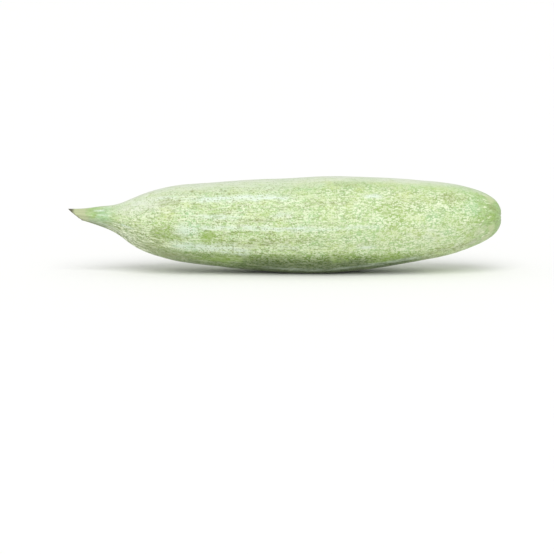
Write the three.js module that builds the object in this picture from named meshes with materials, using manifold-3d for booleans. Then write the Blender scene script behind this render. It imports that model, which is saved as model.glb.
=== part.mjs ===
// A short snake gourd, as picked: one fruit that grew in one piece, from the slant-cut stub of
// its stalk, through a slim neck and a long full body, to the blunt blossom end.
// Millimetres, +Z up. +X runs from the stalk to the blossom end. The fruit lies on its belly,
// and the origin is on the surface below it, under the middle of its bounding box.
import * as THREE from "three";
import { mergeVertices } from "three/addons/utils/BufferGeometryUtils.js";
import Module from "manifold-3d";

// Driving dimensions.
const LENGTH = 250; // from the point of the stalk to the blossom end
const GREATEST_RADIUS = 28.4; // just past the middle of the body
const PRESSED_FLAT = 1.2; // how far the belly is flattened where it lies
const STALK_RADIUS = 0.088 * GREATEST_RADIUS; // where the cut begins, on top of the stalk
const CUT_ANGLE = THREE.MathUtils.degToRad(39); // between the stalk's cut and the fruit's axis

// Facets.
const RINGS = 50;
const SIDES = 40;

// The outline: [share of LENGTH from the stalk's point, share of GREATEST_RADIUS]. It begins a
// little before that point, so that the knife has something to take off.
const OUTLINE = [
  [-0.008, 0.0],
  [-0.008, 0.082],
  [0.0, 0.088],
  [0.035, 0.123],
  [0.07, 0.192],
  [0.1, 0.257],
  [0.122, 0.339],
  [0.146, 0.465],
  [0.174, 0.586],
  [0.21, 0.693],
  [0.26, 0.788],
  [0.33, 0.846],
  [0.42, 0.914],
  [0.51, 0.973],
  [0.59, 1.0],
  [0.67, 0.957],
  [0.75, 0.891],
  [0.82, 0.811],
  [0.875, 0.737],
  [0.915, 0.65],
  [0.945, 0.562],
  [0.968, 0.467],
  [0.986, 0.354],
  [0.996, 0.232],
  [1.0, 0.1],
  [0.998, 0.0],
];

// How far the middle of each section stands above that of the belly, both as shares of LENGTH.
const RISE_AT = [0, 0.04, 0.08, 0.115, 0.145, 0.175, 0.23, 0.31, 0.42, 0.51, 0.6, 0.7, 0.8, 0.9, 1];
const RISE = [
  0.0295, 0.0255, 0.0211, 0.0152, 0.0098, 0.0074, 0.0056, 0.0029, 0.0003, -0.0027, -0.0004, 0.0052,
  0.0104, 0.0165, 0.0222,
];

// The body bows a little to one side, and three soft lobes run along it, one of them on top.
const SIDE_BOW = 0.009 * LENGTH;
const LOBES = 3;
const LOBE_HEIGHT = 0.012; // share of the radius
const TOP = Math.PI / 2; // the angle of the top about the axis

/** The profile of the straight fruit, as points for a lathe about its own axis. */
function latheProfile() {
  const stations = OUTLINE.map(
    ([along, out]) => new THREE.Vector2(out * GREATEST_RADIUS, along * LENGTH),
  );
  const skin = new THREE.SplineCurve(stations.slice(1)).getPoints(RINGS);
  skin.forEach((point) => (point.x = Math.max(point.x, 0)));
  skin[skin.length - 1].x = 0;
  return [stations[0], ...skin];
}

/** How far the middle of the section at a share of the length stands above that of the belly. */
function riseAt(share) {
  const curve = new THREE.CubicInterpolant(RISE_AT, RISE, 1, new Float32Array(1));
  return curve.evaluate(share)[0] * LENGTH;
}

/** Bends the straight fruit, gives it its lobes, and presses its belly flat. */
function shapeAsGrown(geometry) {
  const belly = PRESSED_FLAT - GREATEST_RADIUS * (1 - LOBE_HEIGHT);
  const places = geometry.getAttribute("position");
  for (let i = 0; i < places.count; i++) {
    const share = THREE.MathUtils.clamp(places.getX(i) / LENGTH, 0, 1);
    const angle = Math.atan2(places.getZ(i), places.getY(i));
    const fullness = Math.sin(Math.PI * share);
    const lobed = 1 + LOBE_HEIGHT * fullness * Math.cos(LOBES * (angle - TOP));
    const y = places.getY(i) * lobed + SIDE_BOW * fullness;
    const z = places.getZ(i) * lobed + riseAt(share);
    places.setXYZ(i, places.getX(i), y, Math.max(z, belly));
  }
}

const wasm = await Module();
wasm.setup();

/** A closed geometry as a solid that can be cut. */
function solidOf(geometry) {
  const bare = geometry.clone();
  bare.deleteAttribute("normal");
  bare.deleteAttribute("uv");
  const merged = mergeVertices(bare, 1e-4);
  return new wasm.Manifold(
    new wasm.Mesh({
      numProp: 3,
      vertProperties: merged.getAttribute("position").array,
      triVerts: new Uint32Array(merged.index.array),
    }),
  );
}

/** A solid as a geometry again, with flat facets. */
function geometryOf(solid) {
  const { vertProperties, triVerts } = solid.getMesh();
  const indexed = new THREE.BufferGeometry()
    .setAttribute("position", new THREE.BufferAttribute(new Float32Array(vertProperties), 3))
    .setIndex(new THREE.BufferAttribute(new Uint32Array(triVerts), 1));
  const faceted = indexed.toNonIndexed();
  faceted.computeVertexNormals();
  return faceted;
}

/** What the knife took off the stalk: a block that stands on the slanting cut. */
function stalkOffcut() {
  const size = 12 * STALK_RADIUS;
  const block = new THREE.BoxGeometry(size, size, size).translate(0, 0, -size / 2);
  block.rotateY(CUT_ANGLE);
  return block.translate(0, 0, riseAt(0) + STALK_RADIUS);
}

/** The whole fruit, with its lowest face at z = 0 and the middle of its box over the origin. */
function gourdGeometry() {
  const fruit = new THREE.LatheGeometry(latheProfile(), SIDES, Math.PI / SIDES);
  fruit.rotateZ(-Math.PI / 2);
  shapeAsGrown(fruit);
  const cut = geometryOf(solidOf(fruit).subtract(solidOf(stalkOffcut())));
  cut.computeBoundingBox();
  const { min, max } = cut.boundingBox;
  return cut.translate(-(min.x + max.x) / 2, -(min.y + max.y) / 2, -min.z);
}

const rind = new THREE.MeshStandardMaterial({
  name: "rind",
  color: 0xcfe0ac,
  roughness: 0.5,
  metalness: 0,
});

const gourd = new THREE.Mesh(gourdGeometry(), rind);
gourd.name = "snake_gourd";

const fruit = new THREE.Group();
fruit.name = "snake_gourd_fruit";
fruit.add(gourd);

export default fruit;
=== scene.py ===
"""A short snake gourd, as picked, lying on its belly on a plain pale floor.

Metres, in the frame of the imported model: +X runs from the stalk to the blossom end, +Z is up,
and the near side faces -Y.
"""

import logging
import math
from dataclasses import dataclass
from enum import Enum

import bpy
import numpy as np
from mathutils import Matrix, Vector, noise


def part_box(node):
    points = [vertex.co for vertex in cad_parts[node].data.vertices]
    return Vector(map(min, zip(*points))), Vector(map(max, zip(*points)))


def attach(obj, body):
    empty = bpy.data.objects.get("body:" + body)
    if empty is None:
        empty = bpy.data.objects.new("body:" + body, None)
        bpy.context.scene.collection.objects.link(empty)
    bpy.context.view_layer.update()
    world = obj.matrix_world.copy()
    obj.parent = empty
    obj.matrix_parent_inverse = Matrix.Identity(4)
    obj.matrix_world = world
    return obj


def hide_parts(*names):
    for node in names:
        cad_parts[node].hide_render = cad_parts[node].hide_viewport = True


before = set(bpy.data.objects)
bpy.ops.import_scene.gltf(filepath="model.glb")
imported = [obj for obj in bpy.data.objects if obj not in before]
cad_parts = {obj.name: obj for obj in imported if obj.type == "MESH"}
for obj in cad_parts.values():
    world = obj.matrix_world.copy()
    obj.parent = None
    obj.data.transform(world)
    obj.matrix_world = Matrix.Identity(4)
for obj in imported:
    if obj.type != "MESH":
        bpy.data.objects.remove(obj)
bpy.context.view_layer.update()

NODE = "snake_gourd"
BODY = "root"
MM = 0.001
FULL_TURN = 2 * math.pi
LOG = logging.getLogger(NODE)

Socket = bpy.types.NodeSocket
Input = Socket | float | tuple[float, ...]


class Tint(Enum):
    """The colours of the fruit and the floor, as display red, green and blue up to 255."""

    GROUND = (171, 198, 131)
    SHADE = (129, 149, 90)
    YELLOWED = (190, 202, 125)
    COOL = (157, 197, 148)
    FLECK = (232, 240, 208)
    BAND = (218, 232, 216)
    DEEP = (133, 165, 61)
    # The next two are partly the belly's own deeper green and partly painted shade, the second on
    # the lowest of the belly.
    BELLY = (102, 134, 30)
    UNDERMOST = (56, 80, 8)
    OLIVE = (131, 141, 82)
    END_GREEN = (143, 180, 102)
    # Partly the pale wax bloom, partly painted sheen along the top where the skin faces up.
    BLOOM = (217, 224, 205)
    # The next two are partly grey bloom and partly painted shade: greyer under the neck, darker
    # along the lower rim.
    GREY = (153, 165, 143)
    DUSKY = (114, 128, 92)
    TAN = (180, 187, 145)
    BUFF = (202, 209, 167)
    BROWN = (84, 82, 58)
    PITH = (212, 214, 172)
    FLOOR = (246, 246, 245)

    def linear(self) -> tuple[float, float, float, float]:
        """The colour as a shader socket takes it.

        Returns:
            Linear red, green and blue, with a full alpha.
        """
        # The usual display curve: straight near black, then a power.
        straight_below = 0.04045
        shares = (part / 255 for part in self.value)
        parts = (
            c / 12.92 if c <= straight_below else ((c + 0.055) / 1.055) ** 2.4 for c in shares
        )
        return (*parts, 1.0)


def smooth_step(low: float, high: float, value: np.ndarray) -> np.ndarray:
    """A soft step over an array, from 0 at low to 1 at high, which may also be the lower one."""
    share = np.clip((value - low) / (high - low), 0, 1)
    return share * share * (3 - 2 * share)


class Lumps(Enum):
    """Sets of random swellings, each with the shift that keeps it apart from the others."""

    SWELLING = 3.1
    BELLY = 4.7
    EDGE = 5.3
    RIPPLE = 7.7
    BLOOM = 9.1


def lumps(places: np.ndarray, size: float, which: Lumps) -> np.ndarray:
    """Even random swellings.

    Args:
        places: points in metres, with x, y and z in the last axis.
        size: about how far apart the swellings are, in metres.
        which: the set of swellings.

    Returns:
        A number from about -1 to 1 for each point.
    """
    shift = Vector((which.value, 2 * which.value, 3 * which.value))
    found = [noise.noise(Vector(p) / size + shift) for p in places.reshape(-1, 3).tolist()]
    return np.array(found).reshape(places.shape[:-1])


@dataclass(frozen=True)
class Band:
    """A broken whitish line along the skin.

    Attributes:
        turn: where it runs, in degrees up from the near side.
        start: where it starts, as a share of the length.
        end: where it ends, as a share of the length.
        width: from its middle to its edge, in metres.
        strength: how strongly it shows, from 0 to 1.
    """

    turn: float
    start: float
    end: float
    width: float
    strength: float


class Stain(Enum):
    """What a patch of skin is stained with, by the name under which the mesh holds it."""

    GREEN = "green_patch"
    OLIVE = "olive_patch"
    BUFF = "buff_patch"
    COOL = "cool_patch"
    PALE = "pale_patch"


@dataclass(frozen=True)
class Patch:
    """A stained patch on the skin.

    Attributes:
        turn: where its middle is, in degrees up from the near side.
        share: where its middle is, as a share of the length.
        length: from its middle to its edge along the fruit, in metres.
        width: from its middle to its edge round the fruit, in metres.
        strength: how strongly it shows, from 0 to 1.
        stain: what it is stained with.
    """

    turn: float
    share: float
    length: float
    width: float
    strength: float
    stain: Stain = Stain.GREEN


@dataclass(frozen=True)
class Pit:
    """A small dark dent in the skin.

    Attributes:
        turn: where it is, in degrees up from the near side.
        share: where it is, as a share of the length.
        size: from its middle to its edge, in metres.
    """

    turn: float
    share: float
    size: float


@dataclass(frozen=True)
class GourdForm:
    """The grown form of the fruit. Shares run from 0 at the stalk's point to 1 at the blossom end.

    The outline, rise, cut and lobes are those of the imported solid, as shares of its length.

    Attributes:
        stalk_x: where the stalk's point is, in metres.
        length: from there to the blossom end, in metres.
        middle_y: the middle of the fruit's width, in metres.
        radius_share: the greatest radius, as a share of the length.
        stalk_radius_share: the radius where the cut begins, as a share of the greatest.
        pressed_share: how far the belly is flattened, as a share of the length.
        press_rounding: how softly the flat patch meets the round skin, in metres.
        cut_angle: the angle between the stalk's cut and the fruit's axis.
        cut_within: the share of the length that the cut lies well within.
        bow_share: how far the middle bows to +Y, as a share of the length.
        lobe_count: soft lobes round the fruit, one of them on top.
        lobe_height: how high the lobes are, as a share of the radius.
        outline: the share of the length and of the greatest radius at each station.
        rise: shares of the length, and how far the section's middle stands above the belly's.
    """

    stalk_x: float
    length: float
    middle_y: float
    radius_share: float = 0.1136
    stalk_radius_share: float = 0.088
    pressed_share: float = 0.0048
    press_rounding: float = 0.25 * MM
    cut_angle: float = math.radians(39)
    cut_within: float = 0.12
    bow_share: float = 0.009
    lobe_count: int = 3
    lobe_height: float = 0.012
    outline: tuple[tuple[float, float], ...] = (
        (-0.008, 0.082),
        (0.0, 0.088),
        (0.035, 0.123),
        (0.07, 0.192),
        (0.1, 0.257),
        (0.122, 0.339),
        (0.146, 0.465),
        (0.174, 0.586),
        (0.21, 0.693),
        (0.26, 0.788),
        (0.33, 0.846),
        (0.42, 0.914),
        (0.51, 0.973),
        (0.59, 1.0),
        (0.67, 0.957),
        (0.75, 0.891),
        (0.82, 0.811),
        (0.875, 0.737),
        (0.915, 0.65),
        (0.945, 0.562),
        (0.968, 0.467),
        (0.986, 0.354),
        (0.996, 0.232),
        (1.0, 0.1),
        (0.998, 0.0),
    )
    rise: tuple[tuple[float, float], ...] = (
        (0.0, 0.0295),
        (0.04, 0.0255),
        (0.08, 0.0211),
        (0.115, 0.0152),
        (0.145, 0.0098),
        (0.175, 0.0074),
        (0.23, 0.0056),
        (0.31, 0.0029),
        (0.42, 0.0003),
        (0.51, -0.0027),
        (0.6, -0.0004),
        (0.7, 0.0052),
        (0.8, 0.0104),
        (0.9, 0.0165),
        (1.0, 0.0222),
    )

    @property
    def radius(self) -> float:
        """The greatest radius, in metres."""
        return self.radius_share * self.length

    def profile(self, steps: int = 60) -> tuple[np.ndarray, np.ndarray, np.ndarray]:
        """The straight fruit's outline as one smooth curve.

        Args:
            steps: points on each stretch between two stations.

        Returns:
            The share along, the radius in metres, and the way run along the skin in metres.
        """
        stations = np.array(self.outline)
        spread = np.concatenate([stations[:1], stations, stations[-1:]])
        t = np.linspace(0, 1, steps, endpoint=False)[:, None]
        stretches = []
        for i in range(len(stations) - 1):
            before, start, end, after = spread[i : i + 4]
            leave, arrive = (end - before) / 2, (after - start) / 2
            stretches.append(
                (2 * start - 2 * end + leave + arrive) * t**3
                + (3 * end - 3 * start - 2 * leave - arrive) * t**2
                + leave * t
                + start
            )
        curve = np.concatenate([*stretches, stations[-1:]])
        along, out = curve[:, 0], np.maximum(curve[:, 1], 0) * self.radius
        each_way = np.hypot(np.diff(along) * self.length, np.diff(out))
        return along, out, np.concatenate([[0], np.cumsum(each_way)])

    def rise_at(self, share: np.ndarray) -> np.ndarray:
        """How far each section's middle stands above the belly's.

        Args:
            share: shares along the fruit.

        Returns:
            The heights, in metres.
        """
        at, height = np.array(self.rise).T
        slopes = np.diff(height) / np.diff(at)
        slope = np.concatenate([slopes[:1], (slopes[1:] + slopes[:-1]) / 2, slopes[-1:]])
        i = np.clip(np.searchsorted(at, share, side="right") - 1, 0, len(at) - 2)
        span = at[i + 1] - at[i]
        t = (share - at[i]) / span
        cubic = (2 * t**3 - 3 * t**2 + 1) * height[i] + (t**3 - 2 * t**2 + t) * span * slope[i]
        cubic += (3 * t**2 - 2 * t**3) * height[i + 1] + (t**3 - t**2) * span * slope[i + 1]
        return cubic * self.length

    def fullness(self, share: np.ndarray) -> np.ndarray:
        """How strongly the bow and the lobes show: nothing at the ends, most in the middle."""
        return np.sin(math.pi * np.clip(share, 0, 1))

    def place(self, share: np.ndarray, out: np.ndarray, angle: np.ndarray) -> np.ndarray:
        """Points of the bent and lobed fruit, before its belly is pressed.

        Args:
            share: share along the fruit.
            out: distance from the middle of the section, in metres.
            angle: angle about the axis, 0 towards +Y and a quarter turn upwards.

        Returns:
            The points, with x, y and z in the last axis.
        """
        within = np.clip(share, 0, 1)
        full = self.fullness(within)
        wave = np.cos(self.lobe_count * (angle - math.pi / 2))
        lobed = out * (1 + self.lobe_height * full * wave)
        x = self.stalk_x + share * self.length
        y = lobed * np.cos(angle) + self.bow_share * self.length * full
        z = lobed * np.sin(angle) + self.rise_at(within)
        return np.stack(np.broadcast_arrays(x, y, z), -1)

    def cut_plane(self) -> tuple[np.ndarray, np.ndarray]:
        """Where the knife went through the stalk.

        Returns:
            A point on the slanting cut, and the direction that the cut faces.
        """
        top = np.array(self.stalk_radius_share * self.radius)
        point = self.place(np.array(0.0), top, np.array(math.pi / 2))
        return point, -np.array([math.sin(self.cut_angle), 0, math.cos(self.cut_angle)])

    def settle(self, places: np.ndarray) -> np.ndarray:
        """Presses the belly flat and stands it on the floor.

        Args:
            places: the whole fruit's points, one a row.

        Returns:
            The points, lowest at z = 0 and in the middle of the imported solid's width.
        """
        belly = self.pressed_share * self.length - self.radius * (1 - self.lobe_height)
        above = places[:, 2] - belly
        pressed = (above + np.hypot(above, self.press_rounding)) / 2
        middle = (places[:, 1].min() + places[:, 1].max()) / 2
        return np.stack(
            [places[:, 0], places[:, 1] + self.middle_y - middle, pressed - pressed.min()], -1
        )


@dataclass(frozen=True)
class SkinRelief:
    """What lifts and dents the fruit: ribs, veins, swellings, pits, scar and cut. In metres.

    Attributes:
        rib_count: ribs round the fruit.
        stalk_rib: how high they stand on the stalk.
        shoulder_rib: how high they stand on the shoulder.
        body_vein: how high they stand on the body, as faint veins.
        swelling: how high the broad swellings are.
        swelling_size: about how far apart they are.
        ripple: how high the small ripples are.
        ripple_size: about how far apart they are.
        pit_depth: how deep the pits are.
        scar_radius: from the middle of the blossom scar to its ring.
        scar_height: how high its nub stands.
        pleat_height: how high the pleats that run into it stand.
        pith_depth: how far the middle of the stalk's cut is sunken.
        ring_height: how high the ring of strands stands on the cut.
        ring_share: where that ring is, as a share of the way to the rim.
        ring_width_share: how wide it is, as a share of the same way.
        strand_height: how high each strand stands on it.
    """

    rib_count: int = 10
    stalk_rib: float = 0.14 * MM
    shoulder_rib: float = 0.26 * MM
    body_vein: float = 0.11 * MM
    swelling: float = 0.34 * MM
    swelling_size: float = 34 * MM
    ripple: float = 0.1 * MM
    ripple_size: float = 9 * MM
    pit_depth: float = 0.3 * MM
    scar_radius: float = 2.4 * MM
    scar_height: float = 0.25 * MM
    pleat_height: float = 0.22 * MM
    pith_depth: float = 0.45 * MM
    ring_height: float = 0.16 * MM
    ring_share: float = 0.78
    ring_width_share: float = 0.12
    strand_height: float = 0.05 * MM

    def ribs(self, share: np.ndarray, angle: np.ndarray) -> np.ndarray:
        """Ribs on the stalk and shoulder that fade into faint veins along the body.

        Args:
            share: share along the fruit.
            angle: angle about the axis.

        Returns:
            How far the skin is lifted, in metres.
        """
        drift = 0.35 * np.sin(2.2 * FULL_TURN * share) + 0.2 * np.sin(3 * angle)
        wave = np.cos(self.rib_count * angle + drift)
        rounded = np.sign(wave) * np.abs(wave) ** 1.3
        shoulder = smooth_step(0.03, 0.12, share) * smooth_step(0.34, 0.14, share)
        stalk = smooth_step(0.1, 0.03, share)
        body = smooth_step(0.14, 0.34, share)
        height = stalk * self.stalk_rib + shoulder * self.shoulder_rib + body * self.body_vein
        return height * rounded

    def scar(self, share: np.ndarray, out: np.ndarray, angle: np.ndarray) -> np.ndarray:
        """The low corky scar where the blossom fell, and the pleats that run into it.

        Args:
            share: share along the fruit.
            out: distance from the middle of the section, in metres.
            angle: angle about the axis.

        Returns:
            How far the skin is lifted along +X, in metres.
        """
        near_end = smooth_step(0.97, 0.99, share)
        nub = np.exp(-((out / (0.55 * self.scar_radius)) ** 4))
        ring = np.exp(-(((out - self.scar_radius) / (0.3 * self.scar_radius)) ** 2))
        pleats = np.cos(self.rib_count * angle) * smooth_step(9 * MM, 3 * MM, out)
        pleats *= smooth_step(0.6 * MM, 2.4 * MM, out)
        lift = self.scar_height * nub - 0.35 * self.scar_height * ring
        return near_end * (lift + self.pleat_height * pleats)


@dataclass(frozen=True)
class SkinMarks:
    """Where the pale bands, the stained patches and the pits lie on the skin.

    Attributes:
        bands: the pale bands, from the top round by the near side, then round the far side.
        patches: the stained patches, stain by stain.
        pits: the pits on the near side.
        other_pits: how many more are scattered over the far side and the belly.
        seed: what their draw starts from.
        band_fray: how far the bands' edges wander, in widths.
        patch_fray: how far the patches' edges wander, in sizes.
        edge_size: how coarse those edges are, in metres.
        bloom_size: how coarse the edge of the wax bloom and painted sheen is, in metres.
        belly_size: how coarse the edge of the belly's darker green and painted shade is, in metres.
    """

    bands: tuple[Band, ...] = (
        Band(84, 0.2, 0.62, 3.2 * MM, 0.4),
        Band(58, 0.13, 0.19, 5.0 * MM, 0.5),
        Band(52, 0.19, 0.27, 2.8 * MM, 0.7),
        Band(46, 0.25, 0.31, 3.0 * MM, 0.6),
        Band(45, 0.3, 0.51, 3.8 * MM, 1.0),
        Band(44, 0.062, 0.086, 1.2 * MM, 1.0),
        Band(43, 0.685, 0.72, 2.6 * MM, 1.0),
        Band(21, 0.475, 0.51, 2.4 * MM, 0.6),
        Band(17, 0.073, 0.092, 0.9 * MM, 0.9),
        Band(17, 0.3, 0.39, 2.4 * MM, 0.8),
        Band(4, 0.4, 0.56, 2.4 * MM, 0.9),
        Band(3, 0.3, 0.4, 2.2 * MM, 0.7),
        Band(3, 0.54, 0.72, 1.8 * MM, 0.5),
        Band(-3, 0.25, 0.3, 5.5 * MM, 0.7),
        Band(-9, 0.118, 0.15, 0.9 * MM, 0.9),
        Band(-17, 0.49, 0.53, 2.6 * MM, 0.5),
        Band(-23, 0.675, 0.705, 1.4 * MM, 0.9),
        Band(-27, 0.245, 0.42, 4.6 * MM, 0.8),
        Band(122, 0.16, 0.47, 4.2 * MM, 0.65),
        Band(158, 0.4, 0.84, 3.0 * MM, 0.55),
        Band(196, 0.2, 0.52, 4.4 * MM, 0.65),
        Band(232, 0.32, 0.8, 3.0 * MM, 0.55),
        Band(268, 0.22, 0.55, 3.6 * MM, 0.5),
        Band(303, 0.45, 0.82, 2.8 * MM, 0.5),
    )
    patches: tuple[Patch, ...] = (
        Patch(-3, 0.057, 3 * MM, 1.8 * MM, 0.7),
        Patch(-15, 0.203, 6 * MM, 3.5 * MM, 0.5),
        Patch(-12, 0.208, 12 * MM, 8 * MM, 0.78),
        Patch(38, 0.235, 12 * MM, 2.0 * MM, 0.8),
        Patch(-10, 0.238, 10 * MM, 8 * MM, 0.85),
        Patch(-10, 0.323, 8 * MM, 5 * MM, 1.0),
        Patch(-17, 0.34, 11 * MM, 2.5 * MM, 0.7),
        Patch(-48, 0.34, 24 * MM, 4.5 * MM, 0.8),
        Patch(-3, 0.395, 11 * MM, 1.0 * MM, 0.6),
        Patch(-12, 0.44, 13 * MM, 2.5 * MM, 0.5),
        Patch(-10, 0.484, 8 * MM, 3 * MM, 0.45),
        Patch(-6, 0.553, 8 * MM, 4 * MM, 0.45),
        Patch(-15, 0.565, 14 * MM, 8 * MM, 0.35),
        Patch(-36, 0.637, 14 * MM, 5 * MM, 0.55),
        Patch(68, 0.69, 26 * MM, 6 * MM, 0.4),
        Patch(-45, 0.745, 16 * MM, 6 * MM, 0.8),
        Patch(20, 0.745, 14 * MM, 11 * MM, 0.68),
        Patch(32, 0.83, 14 * MM, 8 * MM, 0.3),
        Patch(-44, 0.844, 4 * MM, 2.6 * MM, 0.7),
        Patch(44, 0.88, 16 * MM, 8 * MM, 0.5),
        Patch(31, 0.893, 10 * MM, 4 * MM, 0.4),
        Patch(2, 0.94, 13 * MM, 3.5 * MM, 0.6),
        Patch(6, 0.974, 5 * MM, 4 * MM, 0.6),
        Patch(176, 0.3, 8 * MM, 5 * MM, 0.9),
        Patch(105, 0.4, 14 * MM, 6 * MM, 0.6),
        Patch(250, 0.4, 20 * MM, 7 * MM, 0.6),
        Patch(140, 0.62, 9 * MM, 6 * MM, 0.8),
        Patch(214, 0.66, 13 * MM, 6 * MM, 0.7),
        Patch(285, 0.7, 16 * MM, 6 * MM, 0.6),
        Patch(-25, 0.18, 10 * MM, 5 * MM, 0.5, Stain.OLIVE),
        Patch(-40, 0.195, 13 * MM, 7 * MM, 0.8, Stain.OLIVE),
        Patch(40, 0.225, 14 * MM, 3.5 * MM, 0.65, Stain.OLIVE),
        Patch(-54, 0.235, 16 * MM, 5 * MM, 0.72, Stain.OLIVE),
        Patch(13, 0.44, 20 * MM, 2.6 * MM, 0.6, Stain.OLIVE),
        Patch(-15, 0.46, 46 * MM, 3.5 * MM, 0.55, Stain.OLIVE),
        Patch(34, 0.6, 34 * MM, 3 * MM, 0.5, Stain.OLIVE),
        Patch(62, 0.66, 20 * MM, 5 * MM, 0.4, Stain.OLIVE),
        Patch(57, 0.76, 18 * MM, 5 * MM, 0.35, Stain.OLIVE),
        Patch(34, 0.79, 44 * MM, 12 * MM, 0.36, Stain.OLIVE),
        # Partly olive skin, partly painted shade: the olive patches at -66 and -50 darken the lower
        # rim near the blossom end.
        Patch(-66, 0.85, 20 * MM, 5 * MM, 0.6, Stain.OLIVE),
        Patch(44, 0.885, 13 * MM, 5 * MM, 0.55, Stain.OLIVE),
        Patch(-50, 0.9, 22 * MM, 5 * MM, 0.68, Stain.OLIVE),
        Patch(35, 0.978, 5 * MM, 3 * MM, 0.6, Stain.OLIVE),
        Patch(135, 0.21, 12 * MM, 5 * MM, 0.5, Stain.OLIVE),
        Patch(222, 0.23, 16 * MM, 7 * MM, 0.7, Stain.OLIVE),
        Patch(-22, 0.952, 9 * MM, 5 * MM, 0.45, Stain.BUFF),
        Patch(-52, 0.966, 5 * MM, 4 * MM, 0.8, Stain.BUFF),
        Patch(66, 0.976, 5 * MM, 5 * MM, 0.8, Stain.BUFF),
        Patch(-27, 0.978, 4 * MM, 4.5 * MM, 0.8, Stain.BUFF),
        Patch(130, 0.97, 6 * MM, 5 * MM, 0.4, Stain.BUFF),
        Patch(262, 0.972, 5 * MM, 5 * MM, 0.6, Stain.BUFF),
        Patch(203, 0.976, 5 * MM, 6 * MM, 0.5, Stain.BUFF),
        Patch(23, 0.084, 10 * MM, 9 * MM, 0.8, Stain.COOL),
        Patch(-32, 0.273, 10 * MM, 6 * MM, 0.9, Stain.COOL),
        Patch(2, 0.28, 9 * MM, 7 * MM, 0.8, Stain.COOL),
        Patch(22, 0.28, 10 * MM, 6 * MM, 0.5, Stain.COOL),
        Patch(-15, 0.579, 10 * MM, 6 * MM, 0.6, Stain.COOL),
        Patch(14, 0.851, 12 * MM, 12 * MM, 0.5, Stain.COOL),
        Patch(27, 0.93, 9 * MM, 8 * MM, 0.68, Stain.COOL),
        Patch(190, 0.4, 24 * MM, 9 * MM, 0.6, Stain.COOL),
        Patch(120, 0.6, 20 * MM, 10 * MM, 0.6, Stain.COOL),
        Patch(240, 0.75, 18 * MM, 9 * MM, 0.6, Stain.COOL),
        Patch(62, 0.4, 28 * MM, 5 * MM, 0.4, Stain.PALE),
        Patch(21, 0.502, 8 * MM, 4.5 * MM, 0.42, Stain.PALE),
        Patch(-20, 0.687, 8 * MM, 4.5 * MM, 0.42, Stain.PALE),
        Patch(-12, 0.83, 14 * MM, 6 * MM, 0.4, Stain.PALE),
        Patch(-18, 0.945, 9 * MM, 5 * MM, 0.32, Stain.PALE),
        Patch(76, 0.945, 13 * MM, 4 * MM, 0.6, Stain.PALE),
        Patch(-52, 0.95, 12 * MM, 3 * MM, 0.45, Stain.PALE),
        Patch(150, 0.55, 14 * MM, 5 * MM, 0.5, Stain.PALE),
        Patch(205, 0.8, 12 * MM, 6 * MM, 0.5, Stain.PALE),
    )
    pits: tuple[Pit, ...] = (
        Pit(62, 0.287, 1.5 * MM),
        Pit(57, 0.306, 1.0 * MM),
        Pit(44, 0.258, 1.3 * MM),
        Pit(42, 0.317, 0.9 * MM),
        Pit(54, 0.345, 1.1 * MM),
        Pit(62, 0.354, 1.0 * MM),
        Pit(59, 0.364, 1.1 * MM),
        Pit(53, 0.373, 1.2 * MM),
        Pit(38, 0.368, 0.8 * MM),
        Pit(33, 0.38, 0.9 * MM),
        Pit(8, 0.313, 0.9 * MM),
        Pit(9, 0.347, 0.8 * MM),
        Pit(15, 0.234, 0.8 * MM),
        Pit(36, 0.452, 0.8 * MM),
        Pit(-14, 0.47, 0.9 * MM),
        Pit(27, 0.62, 0.8 * MM),
    )
    other_pits: int = 16
    seed: int = 11
    band_fray: float = 0.4
    patch_fray: float = 0.5
    edge_size: float = 4.5 * MM
    bloom_size: float = 16 * MM
    belly_size: float = 15 * MM

    def all_pits(self) -> list[Pit]:
        """The named pits, and others scattered over the far side and the belly.

        Returns:
            Every pit.
        """
        draw = np.random.default_rng(self.seed)
        turns = draw.uniform(95, 320, self.other_pits)
        shares = draw.uniform(0.2, 0.9, self.other_pits)
        sizes = draw.uniform(0.7, 1.4, self.other_pits) * MM
        return [*self.pits, *map(Pit, turns, shares, sizes)]


@dataclass
class SkinGrid:
    """The straight skin as rings of points.

    Every array has one row for each ring and one column for each side.

    Attributes:
        share: share along the fruit.
        angle: angle about the axis, 0 towards +Y and a quarter turn upwards.
        out: distance from the middle of the section, in metres.
        run: the way along the skin from the stalk's point, in metres.
        from_cut: the way along the skin from the stalk's cut, in metres.
        places: the points, before relief.
        uneven: random swellings that fray the marks' edges.
    """

    share: np.ndarray
    angle: np.ndarray
    out: np.ndarray
    run: np.ndarray
    from_cut: np.ndarray
    places: np.ndarray
    uneven: np.ndarray

    def turn(self) -> np.ndarray:
        """Degrees up from the near side."""
        return 180 - np.degrees(self.angle)

    def across(self, turn: float) -> np.ndarray:
        """The way round the skin from a line at this turn, in metres, signed."""
        apart = (self.turn() - turn + 180) % 360 - 180
        return np.radians(apart) * self.out

    def away(self, patch: Patch) -> np.ndarray:
        """How far each point lies from the middle of a patch.

        Args:
            patch: the patch.

        Returns:
            0 in its middle, 1 at its edge, and more beyond.
        """
        sides = self.share.shape[1]
        column = round((180 - patch.turn) / 360 * sides) % sides
        row = int(np.argmin(np.abs(self.share[:, column] - patch.share)))
        along = self.places[row + 1, column] - self.places[row - 1, column]
        across = self.places[row, (column + 1) % sides] - self.places[row, column - 1]
        along, across = along / np.linalg.norm(along), across / np.linalg.norm(across)
        apart = self.places - self.places[row, column]
        ways = [
            apart @ along / patch.length,
            apart @ across / patch.width,
            apart @ np.cross(along, across) / max(patch.length, patch.width),
        ]
        return np.linalg.norm(ways, axis=0)


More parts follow.
